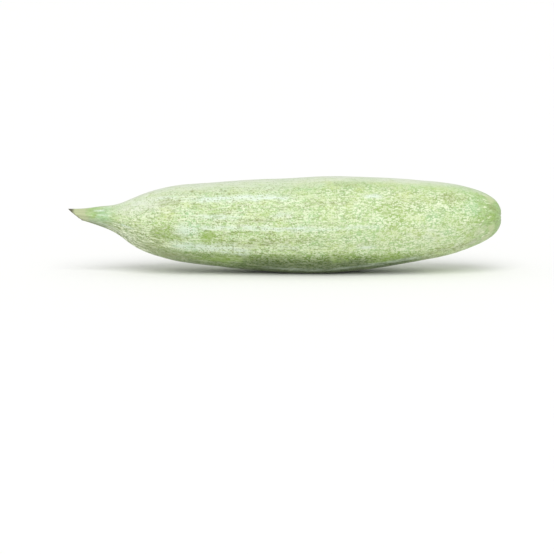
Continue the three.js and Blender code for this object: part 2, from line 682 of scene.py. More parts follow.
class Graph:
    """A node tree that is built call by call, with its nodes laid out from left to right."""

    ROWS = 5
    COLUMN_WIDTH = 180
    ROW_HEIGHT = 220

    def __init__(self, tree: bpy.types.NodeTree) -> None:
        """Keeps the tree that the nodes go into."""
        self.tree = tree
        self.count = 0

    def node(self, kind: str, **settings: object) -> bpy.types.Node:
        """A new node.

        Args:
            kind: Blender's name for the type of node.
            settings: properties to set on it.

        Returns:
            The node.
        """
        made = self.tree.nodes.new(kind)
        column, row = divmod(self.count, self.ROWS)
        made.location = (column * self.COLUMN_WIDTH, -row * self.ROW_HEIGHT)
        self.count += 1
        for name, setting in settings.items():
            setattr(made, name, setting)
        return made

    def feed(self, socket: Socket, given: Input) -> None:
        """Links a socket to another, or sets its value.

        Args:
            socket: the input to feed.
            given: an output socket, a number, or a row of numbers.
        """
        if isinstance(given, bpy.types.NodeSocket):
            self.tree.links.new(given, socket)
        else:
            socket.default_value = given

    def value(self, operation: str, *given: Input) -> Socket:
        """The result of a sum on values.

        Args:
            operation: Blender's name for the sum.
            given: its inputs.

        Returns:
            The result.
        """
        made = self.node("ShaderNodeMath", operation=operation)
        for socket, one in zip(made.inputs, given):
            self.feed(socket, one)
        return made.outputs[0]

    def chain(self, operation: str, first: Input, *others: Input) -> Socket:
        """One value joined to the next by the same sum, and the result to the one after it.

        Args:
            operation: Blender's name for the sum.
            first: the first value.
            others: the values that follow.

        Returns:
            The last result.
        """
        for other in others:
            first = self.value(operation, first, other)
        return first

    def total(self, *given: Input) -> Socket:
        """Values added together."""
        return self.chain("ADD", *given)

    def product(self, *given: Input) -> Socket:
        """Values multiplied together."""
        return self.chain("MULTIPLY", *given)

    def most(self, *given: Input) -> Socket:
        """The greatest of some values."""
        return self.chain("MAXIMUM", *given)

    def vector(self, operation: str, *given: Input) -> Socket:
        """The result of a sum on vectors.

        Args:
            operation: Blender's name for the sum.
            given: its inputs.

        Returns:
            The result.
        """
        made = self.node("ShaderNodeVectorMath", operation=operation)
        for socket, one in zip(made.inputs, given):
            self.feed(socket, one)
        return made.outputs[0]

    def step(
        self, given: Input, low: Input, high: Input, start: Input = 0.0, end: Input = 1.0
    ) -> Socket:
        """A soft step.

        Args:
            given: the value to step.
            low: where the step begins.
            high: where it ends.
            start: the result before the step.
            end: the result after it.

        Returns:
            The stepped value.
        """
        made = self.node("ShaderNodeMapRange", interpolation_type="SMOOTHSTEP")
        for socket, one in zip(made.inputs, (given, low, high, start, end)):
            self.feed(socket, one)
        return made.outputs[0]

    def mix(self, share: Input, first: Input, second: Input) -> Socket:
        """Two colours mixed.

        Args:
            share: how much of the second there is, from 0 to 1.
            first: the first colour.
            second: the second colour.

        Returns:
            The mixed colour.
        """
        made = self.node("ShaderNodeMix", data_type="RGBA", clamp_factor=True)
        # The mix node keeps its sockets for colours after those for values and vectors.
        self.feed(made.inputs[0], share)
        self.feed(made.inputs[6], first)
        self.feed(made.inputs[7], second)
        return made.outputs[2]

    def attribute(self, name: str, vector: bool = False) -> Socket:
        """What the mesh holds under a name, as a value or as a vector."""
        made = self.node("ShaderNodeAttribute", attribute_name=name)
        return made.outputs["Vector" if vector else "Fac"]

    def noise(self, place: Input, scale: Input, detail: float, roughness: float) -> Socket:
        """Soft noise.

        Args:
            place: where it is read.
            scale: how many swellings there are to a unit.
            detail: how many finer layers it has.
            roughness: how strong those are.

        Returns:
            A value about 0.5.
        """
        made = self.node("ShaderNodeTexNoise", noise_dimensions="3D")
        self.feed(made.inputs["Vector"], place)
        self.feed(made.inputs["Scale"], scale)
        made.inputs["Detail"].default_value = detail
        made.inputs["Roughness"].default_value = roughness
        return made.outputs[0]

    def group(self, tree: bpy.types.NodeTree, **given: Input) -> Socket:
        """A placed shader group.

        Args:
            tree: the group.
            given: its inputs, by name, with _ for a space.

        Returns:
            Its first output.
        """
        made = self.node("ShaderNodeGroup", node_tree=tree)
        for name, one in given.items():
            self.feed(made.inputs[name.replace("_", " ").capitalize()], one)
        return made.outputs[0]


def start_group(name: str, inputs: dict[str, str], output: str) -> tuple[Graph, dict[str, Socket]]:
    """A new shader group with named sockets.

    Args:
        name: the group's name.
        inputs: each input's name, and "Vector" or "Float".
        output: the name of its one output, a value.

    Returns:
        The group's graph, and its inputs as sockets to link from.
    """
    tree = bpy.data.node_groups.new(name, "ShaderNodeTree")
    for title, kind in inputs.items():
        tree.interface.new_socket(name=title, in_out="INPUT", socket_type=f"NodeSocket{kind}")
    tree.interface.new_socket(name=output, in_out="OUTPUT", socket_type="NodeSocketFloat")
    graph = Graph(tree)
    source = graph.node("NodeGroupInput")
    return graph, {socket.name: socket for socket in source.outputs if socket.name}


def end_group(graph: Graph, result: Socket) -> bpy.types.NodeTree:
    """Joins a group's result to its output.

    Args:
        graph: the group's graph.
        result: what it puts out.

    Returns:
        The finished group.
    """
    sink = graph.node("NodeGroupOutput")
    graph.tree.links.new(result, sink.inputs[0])
    return graph.tree


@dataclass(frozen=True)
class Flecks:
    """One kind of small separate spot.

    Attributes:
        width: how far apart they are round the fruit, in millimetres.
        length: how far apart they are along it, in millimetres.
        cover: how far they fill the skin.
        seed: another one scatters them in another way.
    """

    width: float
    length: float
    cover: float
    seed: float


@dataclass(frozen=True)
class Streaks:
    """One kind of fine line along the fruit.

    Attributes:
        width: about how far apart they are, in millimetres.
        length: about how long they are, in millimetres.
        cover: how far they fill the skin.
        edge: how soft they are.
        shift: in millimetres, to keep one kind from falling on another.
    """

    width: float
    length: float
    cover: float
    edge: float
    shift: tuple[float, float, float] | None = None


class Effects:
    """The shader groups that the finishes share. Places and sizes are in millimetres."""

    MIDDLE_LEVEL = 0.5  # of a noise texture
    SMALLEST_FLECK, LARGEST_FLECK = 0.45, 1.15  # how far they reach, as shares of their cover
    FLECK_CORE = 0.55  # share of a fleck's reach within which it shows fully
    BENDS = 1.3  # to each fleck's size
    BEND_REACH = 0.9  # in flecks' sizes
    STREAK_LEVEL = 0.62  # of the noise, where streaks without cover would begin

    def __init__(self) -> None:
        """Builds each group once."""
        self.fleck_group = self.make_flecks()
        self.streak_group = self.make_streaks()
        self.mottle_group = self.make_mottle()

    def drawn_out(self, graph: Graph, given: dict[str, Socket]) -> Socket:
        """Places scaled so that a mark of the given width and length is one unit each way.

        Args:
            graph: the group's graph.
            given: its inputs, with Place, Width and Length among them.

        Returns:
            The scaled places.
        """
        across = graph.value("DIVIDE", 1.0, given["Width"])
        along = graph.value("DIVIDE", 1.0, given["Length"])
        sizes = graph.node("ShaderNodeCombineXYZ")
        for socket, one in zip(sizes.inputs, (along, across, across)):
            graph.feed(socket, one)
        return graph.vector("MULTIPLY", given["Place"], sizes.outputs[0])

    def make_flecks(self) -> bpy.types.NodeTree:
        """Separate small spots of uneven size, drawn out along X.

        Returns:
            The group.
        """
        inputs = {"Place": "Vector", **dict.fromkeys(("Width", "Length", "Cover", "Seed"), "Float")}
        graph, given = start_group("Flecks", inputs, "Mask")
        shifted = graph.vector("ADD", self.drawn_out(graph, given), given["Seed"])
        bend = graph.node("ShaderNodeTexNoise", noise_dimensions="3D")
        graph.feed(bend.inputs["Vector"], shifted)
        bend.inputs["Scale"].default_value = self.BENDS
        bend.inputs["Detail"].default_value = 1.0
        moved = graph.vector("SUBTRACT", bend.outputs["Color"], (self.MIDDLE_LEVEL,) * 3)
        wander = graph.node("ShaderNodeVectorMath", operation="SCALE")
        graph.feed(wander.inputs[0], moved)
        wander.inputs["Scale"].default_value = self.BEND_REACH
        bent = graph.vector("ADD", shifted, wander.outputs[0])
        cells = graph.node("ShaderNodeTexVoronoi", voronoi_dimensions="3D", feature="F1")
        graph.feed(cells.inputs["Vector"], bent)
        cells.inputs["Scale"].default_value = 1.0
        parts = graph.node("ShaderNodeSeparateXYZ")
        graph.feed(parts.inputs[0], cells.outputs["Color"])
        size = graph.step(parts.outputs[0], 0.0, 1.0, self.SMALLEST_FLECK, self.LARGEST_FLECK)
        reach = graph.product(given["Cover"], size)
        core = graph.product(reach, self.FLECK_CORE)
        return end_group(graph, graph.step(cells.outputs["Distance"], reach, core))

    def make_streaks(self) -> bpy.types.NodeTree:
        """Fine lines along X, soft at their ends.

        Returns:
            The group.
        """
        inputs = {"Place": "Vector", **dict.fromkeys(("Width", "Length", "Cover", "Edge"), "Float")}
        graph, given = start_group("Streaks", inputs, "Mask")
        lines = graph.noise(self.drawn_out(graph, given), 1.0, detail=2.0, roughness=0.55)
        low = graph.value("SUBTRACT", self.STREAK_LEVEL, given["Cover"])
        high = graph.total(low, given["Edge"])
        return end_group(graph, graph.step(lines, low, high))

    def make_mottle(self) -> bpy.types.NodeTree:
        """Soft uneven patches.

        Returns:
            The group.
        """
        graph, given = start_group(
            "Mottle", {"Place": "Vector", "Size": "Float", "Contrast": "Float"}, "Mask"
        )
        scale = graph.value("DIVIDE", 1.0, given["Size"])
        patches = graph.noise(given["Place"], scale, detail=3.0, roughness=0.55)
        uneven = graph.value("SUBTRACT", patches, self.MIDDLE_LEVEL)
        spread = graph.product(uneven, given["Contrast"])
        made = graph.node("ShaderNodeMath", operation="ADD", use_clamp=True)
        graph.feed(made.inputs[0], spread)
        made.inputs[1].default_value = self.MIDDLE_LEVEL
        return end_group(graph, made.outputs[0])

    def flecks(self, graph: Graph, place: Socket, kind: Flecks) -> Socket:
        """Flecks of one kind.

        Args:
            graph: the material's graph.
            place: where they are read.
            kind: their sizes.

        Returns:
            How strongly they show, from 0 to 1.
        """
        return graph.group(
            self.fleck_group,
            place=place,
            width=kind.width,
            length=kind.length,
            cover=kind.cover,
            seed=kind.seed,
        )

    def streaks(self, graph: Graph, place: Socket, kind: Streaks) -> Socket:
        """Streaks of one kind.

        Args:
            graph: the material's graph.
            place: where they are read.
            kind: their sizes.

        Returns:
            How strongly they show, from 0 to 1.
        """
        if kind.shift:
            place = graph.vector("ADD", place, kind.shift)
        return graph.group(
            self.streak_group,
            place=place,
            width=kind.width,
            length=kind.length,
            cover=kind.cover,
            edge=kind.edge,
        )

    def mottle(self, graph: Graph, place: Socket, size: float, contrast: float) -> Socket:
        """Soft patches, from 0 to 1, about so many millimetres across."""
        return graph.group(self.mottle_group, place=place, size=size, contrast=contrast)


def start_material(name: str) -> tuple[bpy.types.Material, Graph, bpy.types.Node]:
    """A new material with one principled shader.

    Args:
        name: the material's name.

    Returns:
        The material, its graph and the shader.
    """
    material = bpy.data.materials.new(name)
    material.use_nodes = True
    material.node_tree.nodes.clear()
    graph = Graph(material.node_tree)
    shader = graph.node("ShaderNodeBsdfPrincipled")
    output = graph.node("ShaderNodeOutputMaterial")
    graph.tree.links.new(shader.outputs[0], output.inputs[0])
    return material, graph, shader


def add_bump(graph: Graph, shader: bpy.types.Node, height: Socket, depth: float) -> None:
    """Fine relief that is too small for the mesh.

    Args:
        graph: the material's graph.
        shader: the shader that takes the normal.
        height: the relief, about 0 to 1.
        depth: how high 1 stands, in metres.
    """
    bump = graph.node("ShaderNodeBump")
    bump.inputs["Strength"].default_value = 1.0
    bump.inputs["Distance"].default_value = depth
    graph.feed(bump.inputs["Height"], height)
    graph.feed(shader.inputs["Normal"], bump.outputs[0])


@dataclass(frozen=True)
class Skin:
    """What the rind's shader reads at each place on the skin, as sockets.

    Attributes:
        place: where the flecks and streaks are read, in millimetres.
        share: share along the fruit.
        band: how strongly a pale band shows.
        bloom: how strongly the pale wax bloom and the painted sheen on top show.
        stains: how strongly the patches of each stain show.
        pit: how deep in a pit it is.
        from_cut: the way along the skin from the stalk's cut, in millimetres.
        from_scar: how far it is from the middle of the blossom scar, in millimetres.
        upwards: 1 on top, 0 at the sides and -1 undermost.
        broad: broad soft patches.
        middle: smaller soft patches.
        fine: the smallest soft patches.
        ends: how near either green end it is.
        shoulder: how far it is on the shoulder.
        below: how far it is on the belly, painted darker: partly its own deeper green, partly
            painted shade.
        undermost: how far it is on the lowest of the belly, painted darker still as painted shade.
        wrinkled: how far it is on the wrinkled underside of the neck.
        folds: the folds there, painted darker as painted shade in their hollows.
        ridges: the pale ridges there.
    """

    place: Socket
    share: Socket
    band: Socket
    bloom: Socket
    stains: dict[Stain, Socket]
    pit: Socket
    from_cut: Socket
    from_scar: Socket
    upwards: Socket
    broad: Socket
    middle: Socket
    fine: Socket
    ends: Socket
    shoulder: Socket
    below: Socket
    undermost: Socket
    wrinkled: Socket
    folds: Socket
    ridges: Socket

    @classmethod
    def read(cls, graph: Graph, effects: Effects) -> "Skin":
        """Reads the mesh's attributes and makes the shared uneven patches from them.

        Args:
            graph: the material's graph.
            effects: the shared shader groups.

        Returns:
            The sockets.
        """
        place = graph.attribute("skin_place", vector=True)
        share = graph.attribute("share")
        upwards = graph.attribute("upwards")
        wrinkled = graph.product(
            graph.step(upwards, 0.15, -0.35),
            graph.step(share, 0.06, 0.11),
            graph.step(share, 0.32, 0.2),
        )
        # The ridges are the middles of the lines that the folds lie between.
        raised, level = (
            effects.streaks(graph, place, Streaks(width=1.35, length=13.0, cover=cover, edge=0.09))
            for cover in (0.1, 0.2)
        )
        return cls(
            place=place,
            share=share,
            band=graph.attribute("pale_band"),
            bloom=graph.attribute("bloom"),
            stains={stain: graph.attribute(stain.value) for stain in Stain},
            pit=graph.attribute("pit"),
            from_cut=graph.attribute("from_cut"),
            from_scar=graph.attribute("from_scar"),
            upwards=upwards,
            broad=effects.mottle(graph, place, size=24.0, contrast=2.4),
            middle=effects.mottle(graph, place, size=7.0, contrast=2.8),
            fine=effects.mottle(graph, place, size=2.4, contrast=3.2),
            ends=graph.most(graph.step(share, 0.17, 0.07), graph.step(share, 0.87, 0.985)),
            shoulder=graph.product(graph.step(share, 0.08, 0.14), graph.step(share, 0.3, 0.16)),
            below=graph.attribute("below"),
            undermost=graph.attribute("undermost"),
            wrinkled=wrinkled,
            # The folds are painted darker: painted shade in their hollows.
            folds=graph.product(graph.value("SUBTRACT", 1.0, level), wrinkled),
            ridges=graph.product(raised, wrinkled),
        )


@dataclass(frozen=True)
class RindFinish:
    """Waxy green skin with dense pale flecks, broken whitish bands and green ends.

    Attributes:
        effects: the shared shader groups.
        dashes: the body's crisp pale dashes.
        dots: the body's small pale dots.
        long_dashes: the pale dashes at the shoulder and at both ends.
        dark_specks: small dark specks.
        pale_lines: long pale lines along the body.
        grooves: short darker lines.
        long_grooves: long darker lines.
        strands: lines that break up the bands, the wax bloom and its painted sheen.
        roughness: how matt the bare skin is.
        sheen: how strong the waxy sheen is.
        sheen_roughness: how soft the sheen is.
        sheen_tint: the sheen's colour, already linear.
        relief: how high the flecks and the grain stand, in metres.
        yellowing: how strongly the broad patches are yellower.
        cooling: how strongly the smaller patches are bluer.
        end_greening: how strongly both ends are greener.
        belly_green_and_shade: how strongly the belly's deeper green and its painted shade show.
        neck_grey_and_shade: how strongly the underside of the neck is greyer and the lower rim
            darker: partly grey bloom, partly painted shade.
        stain_strength: how strongly the cool and the buff patches show.
        fleck_strength: how strongly the flecks show.
    """

    effects: Effects
    dashes: Flecks = Flecks(width=1.2, length=2.2, cover=0.66, seed=0.0)
    dots: Flecks = Flecks(width=0.85, length=1.1, cover=0.66, seed=17.0)
    long_dashes: Flecks = Flecks(width=2.2, length=5.5, cover=0.5, seed=5.0)
    dark_specks: Flecks = Flecks(width=0.9, length=1.3, cover=0.44, seed=29.0)
    pale_lines: Streaks = Streaks(
        width=1.2, length=18.0, cover=0.11, edge=0.16, shift=(31.0, 0.0, 0.0)
    )
    grooves: Streaks = Streaks(width=1.1, length=7.0, cover=0.11, edge=0.16)
    long_grooves: Streaks = Streaks(
        width=1.3, length=18.0, cover=0.1, edge=0.16, shift=(0.0, 57.0, 0.0)
    )
    strands: Streaks = Streaks(width=1.4, length=16.0, cover=0.22, edge=0.16)
    roughness: float = 0.46
    sheen: float = 0.22
    sheen_roughness: float = 0.3
    sheen_tint: tuple[float, float, float, float] = (0.95, 0.95, 1.0, 1.0)
    relief: float = 0.07 * MM
    yellowing: float = 0.7
    cooling: float = 0.6
    end_greening: float = 0.75
    belly_green_and_shade: float = 0.9
    neck_grey_and_shade: float = 0.8
    stain_strength: float = 0.8
    fleck_strength: float = 0.92

    def ground(self, graph: Graph, skin: Skin) -> Socket:
        """The green between the flecks: uneven, greener at the ends, paler on top, and darker below
        and under the neck, partly as painted shade.

        Args:
            graph: the material's graph.
            skin: what is known at each place.

        Returns:
            The colour.
        """
        yellowed = graph.product(skin.broad, self.yellowing)
        colour = graph.mix(yellowed, Tint.GROUND.linear(), Tint.YELLOWED.linear())
        cooled = graph.product(skin.middle, self.cooling)
        colour = graph.mix(cooled, colour, Tint.COOL.linear())
        greened = graph.product(skin.ends, self.end_greening)
        colour = graph.mix(greened, colour, Tint.END_GREEN.linear())
        colour = self.grooved(graph, skin, colour)
        cool = graph.product(self.ragged(graph, skin, Stain.COOL), self.stain_strength)
        colour = graph.mix(cool, colour, Tint.COOL.linear())
        # The belly painted darker green, darkest undermost: partly its own deeper green, partly
        # painted shade.
        below = graph.product(skin.below, self.belly_green_and_shade)
        colour = graph.mix(below, colour, Tint.BELLY.linear())
        undermost = graph.product(skin.undermost, self.belly_green_and_shade)
        colour = graph.mix(undermost, colour, Tint.UNDERMOST.linear())
        colour = graph.mix(self.ragged(graph, skin, Stain.GREEN), colour, Tint.DEEP.linear())
        # Greyer under the neck and darker along the lower rim near it: partly grey bloom, partly
        # painted shade.
        neck = graph.product(
            graph.step(skin.upwards, 0.0, -0.7), graph.step(skin.share, 0.21, 0.11)
        )
        edge = graph.product(
            graph.step(skin.upwards, -0.62, -0.88), graph.step(skin.share, 0.4, 0.22)
        )
        colour = graph.mix(graph.product(neck, self.neck_grey_and_shade), colour, Tint.GREY.linear())
        colour = graph.mix(graph.product(edge, self.neck_grey_and_shade), colour, Tint.DUSKY.linear())
        colour = graph.mix(self.ragged(graph, skin, Stain.OLIVE), colour, Tint.OLIVE.linear())
        # Painted shade in the hollows of the folds under the neck.
        return graph.mix(skin.folds, colour, Tint.SHADE.linear())

    def grooved(self, graph: Graph, skin: Skin, colour: Socket) -> Socket:
        """Lays short and long darker lines over the colour, fainter towards the blossom and on top.

        Args:
            graph: the material's graph.
            skin: what is known at each place.
            colour: the colour without them.

        Returns:
            The colour with the lines.
        """
        depth = graph.most(graph.step(skin.share, 0.75, 0.35, 0.45, 1.0), skin.ends)
        depth = graph.product(depth, graph.step(skin.upwards, 0.75, 0.93, 1.0, 0.4))
        depth = graph.product(depth, graph.step(skin.upwards, -0.3, 0.5, 1.0, 0.8))
        grooves = self.effects.streaks(graph, skin.place, self.grooves)
        colour = graph.mix(graph.product(grooves, depth), colour, Tint.SHADE.linear())
        long_grooves = self.effects.streaks(graph, skin.place, self.long_grooves)
        return graph.mix(graph.product(long_grooves, depth, 0.8), colour, Tint.SHADE.linear())

    def ragged(self, graph: Graph, skin: Skin, stain: Stain) -> Socket:
        """Breaks up the patches of one stain and their edges.

        Args:
            graph: the material's graph.
            skin: what is known at each place.
            stain: which patches.

        Returns:
            How strongly they show, from 0 to 1.
        """
        patch = skin.stains[stain]
        uneven = graph.total(graph.product(skin.fine, 0.55), graph.product(skin.middle, 0.35))
        broken = graph.step(graph.total(patch, uneven), 0.5, 1.1)
        return graph.product(broken, patch)

    def flecks(self, graph: Graph, skin: Skin) -> Socket:
        """Pale dashes and dots over the body, and longer dashes that run together at the ends.

        Args:
            graph: the material's graph.
            skin: what is known at each place.

        Returns:
            How pale each place is, from 0 to 1.
        """
        pale = graph.most(self.body_flecks(graph, skin), self.end_flecks(graph, skin))
        shaded = graph.product(
            graph.step(skin.below, 0.0, 1.0, 1.0, 0.65),
            graph.step(skin.undermost, 0.0, 1.0, 1.0, 0.55),
        )
        stained = graph.most(skin.stains[Stain.GREEN], skin.stains[Stain.BUFF])
        pale = graph.product(pale, shaded, graph.step(stained, 0.55, 1.0, 1.0, 0.45))
        pale = graph.product(pale, graph.step(skin.upwards, 0.75, 0.93, 1.0, 0.5))
        return graph.product(pale, graph.step(skin.stains[Stain.OLIVE], 0.2, 0.9, 1.0, 0.6))

    def body_flecks(self, graph: Graph, skin: Skin) -> Socket:
        """Pale dashes, dots and long lines over the body, which thin out towards the ends.

        Args:
            graph: the material's graph.
            skin: what is known at each place.

        Returns:
            How pale each place is, from 0 to 1.
        """
        dashes = self.effects.flecks(graph, skin.place, self.dashes)
        dots = self.effects.flecks(graph, skin.place, self.dots)
        crisp = graph.step(skin.share, 0.35, 0.75, 0.8, 0.9)
        dotted = graph.step(skin.share, 0.45, 0.8, 0.66, 0.86)
        body = graph.most(graph.product(dashes, crisp), graph.product(dots, dotted))
        body = graph.product(body, graph.step(skin.middle, 0.0, 1.0, 0.62, 1.0))
        lines = self.effects.streaks(graph, skin.place, self.pale_lines)
        body = graph.most(body, graph.product(lines, graph.step(skin.share, 0.8, 0.3, 0.15, 0.8)))
        return graph.product(body, graph.step(skin.ends, 0.3, 1.0, 1.0, 0.25))

    def end_flecks(self, graph: Graph, skin: Skin) -> Socket:
        """Long pale dashes at the shoulder and at both ends, and the ridges under the neck.

        Args:
            graph: the material's graph.
            skin: what is known at each place.

        Returns:
            How pale each place is, from 0 to 1.
        """
        long_dashes = self.effects.flecks(graph, skin.place, self.long_dashes)
        drawn_out = graph.most(skin.shoulder, graph.step(skin.ends, 0.2, 0.9))
        drawn_out = graph.product(drawn_out, graph.step(skin.share, 0.985, 0.965))
        unwrinkled = graph.step(skin.wrinkled, 0.0, 1.0, 0.85, 0.3)
        at_ends = graph.product(long_dashes, drawn_out, unwrinkled)
        at_ends = graph.product(at_ends, graph.step(skin.share, 0.07, 0.15, 0.45, 1.0))
        return graph.most(at_ends, skin.ridges)

    def dried_stalk(self, graph: Graph, skin: Skin, colour: Socket) -> Socket:
        """Lays the dried skin of the stalk over the colour: pale tan, browned at the cut.

        Args:
            graph: the material's graph.
            skin: what is known at each place.
            colour: the fresh skin's colour.

        Returns:
            The colour with the stalk dried.
        """
        ragged_end = graph.step(skin.fine, 0.0, 1.0, -0.007, 0.007)
        ragged_rim = graph.step(skin.fine, 0.0, 1.0, 0.5, -0.5)
        tan = graph.step(graph.total(skin.share, ragged_end), 0.052, 0.036, 0.0, 0.9)
        colour = graph.mix(tan, colour, Tint.TAN.linear())
        browned = graph.step(graph.total(skin.from_cut, ragged_rim), 1.2, 0.3)
        point = graph.step(skin.share, 0.017, 0.007)
        dark = graph.most(graph.product(browned, 0.8), point)
        return graph.mix(dark, colour, Tint.BROWN.linear())

    def blossom_scar(self, graph: Graph, skin: Skin, colour: Socket) -> Socket:
        """Lays the small corky scar where the blossom fell over the colour.

        Args:
            graph: the material's graph.
            skin: what is known at each place.
            colour: the skin's colour.

        Returns:
            The colour with the scar.
        """
        edge = graph.total(skin.from_scar, graph.step(skin.fine, 0.0, 1.0, -0.5, 0.5))
        colour = graph.mix(graph.step(edge, 2.7, 2.1, 0.0, 0.75), colour, Tint.BROWN.linear())
        return graph.mix(graph.step(edge, 2.0, 1.3, 0.0, 0.85), colour, Tint.TAN.linear())

    def bloomed(self, graph: Graph, skin: Skin, flecks: Socket, colour: Socket) -> Socket:
        """Lays the broken whitish bands, and the pale wax bloom with its painted sheen, over the
        colour.

        Args:
            graph: the material's graph.
            skin: what is known at each place.
            flecks: how pale the flecks make each place.
            colour: the flecked skin's colour.

        Returns:
            The colour with the bands, the wax bloom and the painted sheen.
        """
        strands = self.effects.streaks(graph, skin.place, self.strands)
        uneven = graph.total(
            graph.product(strands, 0.4), graph.product(skin.fine, 0.3), graph.product(flecks, 0.3)
        )
        broken = graph.product(skin.band, graph.step(uneven, 0.1, 0.65, 0.3, 0.92))
        colour = graph.mix(broken, colour, Tint.BAND.linear())
        # The wax bloom with painted sheen along the top, and the pale patches.
        bloom = graph.product(skin.bloom, graph.step(uneven, 0.1, 0.6, 0.55, 1.0))
        bloom = graph.product(bloom, graph.step(skin.broad, 0.0, 1.0, 0.8, 1.0))
        bloom = graph.most(bloom, self.ragged(graph, skin, Stain.PALE))
        return graph.mix(bloom, colour, Tint.BLOOM.linear())

    def specked(self, graph: Graph, skin: Skin, colour: Socket) -> Socket:
        """Lays the small dark specks and the pits over the colour.

        Args:
            graph: the material's graph.
            skin: what is known at each place.
            colour: the skin's colour.

        Returns:
            The colour with the specks and the pits.
        """
        specks = self.effects.flecks(graph, skin.place, self.dark_specks)
        dark = graph.product(specks, graph.step(skin.share, 0.85, 0.4, 0.25, 0.75))
        dark = graph.product(dark, graph.step(skin.bloom, 0.3, 0.8, 1.0, 0.6))
        dark = graph.most(dark, graph.product(skin.pit, 0.8))
        return graph.mix(dark, colour, Tint.OLIVE.linear())

    def material(self) -> bpy.types.Material:
        """Builds the skin's material.

        Returns:
            The material.
        """
        material, graph, shader = start_material("waxy_rind")
        skin = Skin.read(graph, self.effects)
        flecks = self.flecks(graph, skin)
        colour = self.ground(graph, skin)
        pale = graph.product(flecks, self.fleck_strength)
        colour = graph.mix(pale, colour, Tint.FLECK.linear())
        colour = self.bloomed(graph, skin, flecks, colour)
        colour = self.specked(graph, skin, colour)
        buff = graph.product(self.ragged(graph, skin, Stain.BUFF), self.stain_strength)
        colour = graph.mix(buff, colour, Tint.BUFF.linear())
        colour = self.blossom_scar(graph, skin, self.dried_stalk(graph, skin, colour))
        graph.feed(shader.inputs["Base Color"], colour)

        rough = graph.total(
            self.roughness, graph.product(flecks, 0.08), graph.product(skin.fine, 0.06)
        )
        graph.feed(shader.inputs["Roughness"], rough)
        shader.inputs["Sheen Weight"].default_value = self.sheen
        shader.inputs["Sheen Roughness"].default_value = self.sheen_roughness
        shader.inputs["Sheen Tint"].default_value = self.sheen_tint
        grain = graph.noise(skin.place, 1.6, detail=3.0, roughness=0.6)
        height = graph.total(graph.product(flecks, 0.45), graph.product(grain, 0.5))
        height = graph.value("SUBTRACT", height, skin.folds)
        add_bump(graph, shader, height, self.relief)
        return material


@dataclass(frozen=True)
class PithFinish:
    """The stalk's cut face: pale spongy pith, a ring of strands and a browned rim.

    Attributes:
        effects: the shared shader groups.
        pores: the pith's small pores.
        roughness: how matt the pith is.
        relief: how deep its pores are, in metres.
    """

    effects: Effects
    pores: Flecks = Flecks(width=0.32, length=0.32, cover=0.5, seed=2.0)
    roughness: float = 0.85
    relief: float = 0.12 * MM

    def material(self) -> bpy.types.Material:
        """Builds the cut face's material.

        Returns:
            The material.
        """
        material, graph, shader = start_material("cut_pith")
        place = graph.attribute("skin_place", vector=True)
        to_rim = graph.attribute("to_rim")
        patches = self.effects.mottle(graph, place, size=1.2, contrast=3.0)
        pores = self.effects.flecks(graph, place, self.pores)
        colour = graph.mix(graph.product(patches, 0.7), Tint.PITH.linear(), Tint.TAN.linear())
        colour = graph.mix(graph.product(pores, 0.4), colour, Tint.OLIVE.linear())
        ring = graph.product(graph.step(to_rim, 0.6, 0.78), graph.step(to_rim, 0.92, 0.8))
        colour = graph.mix(graph.product(ring, 0.45), colour, Tint.END_GREEN.linear())
        edge = graph.total(to_rim, graph.step(patches, 0.0, 1.0, -0.05, 0.05))
        colour = graph.mix(graph.step(edge, 0.84, 1.0), colour, Tint.BROWN.linear())
        graph.feed(shader.inputs["Base Color"], colour)
        shader.inputs["Roughness"].default_value = self.roughness
        add_bump(graph, shader, graph.value("SUBTRACT", patches, pores), self.relief)
        return material


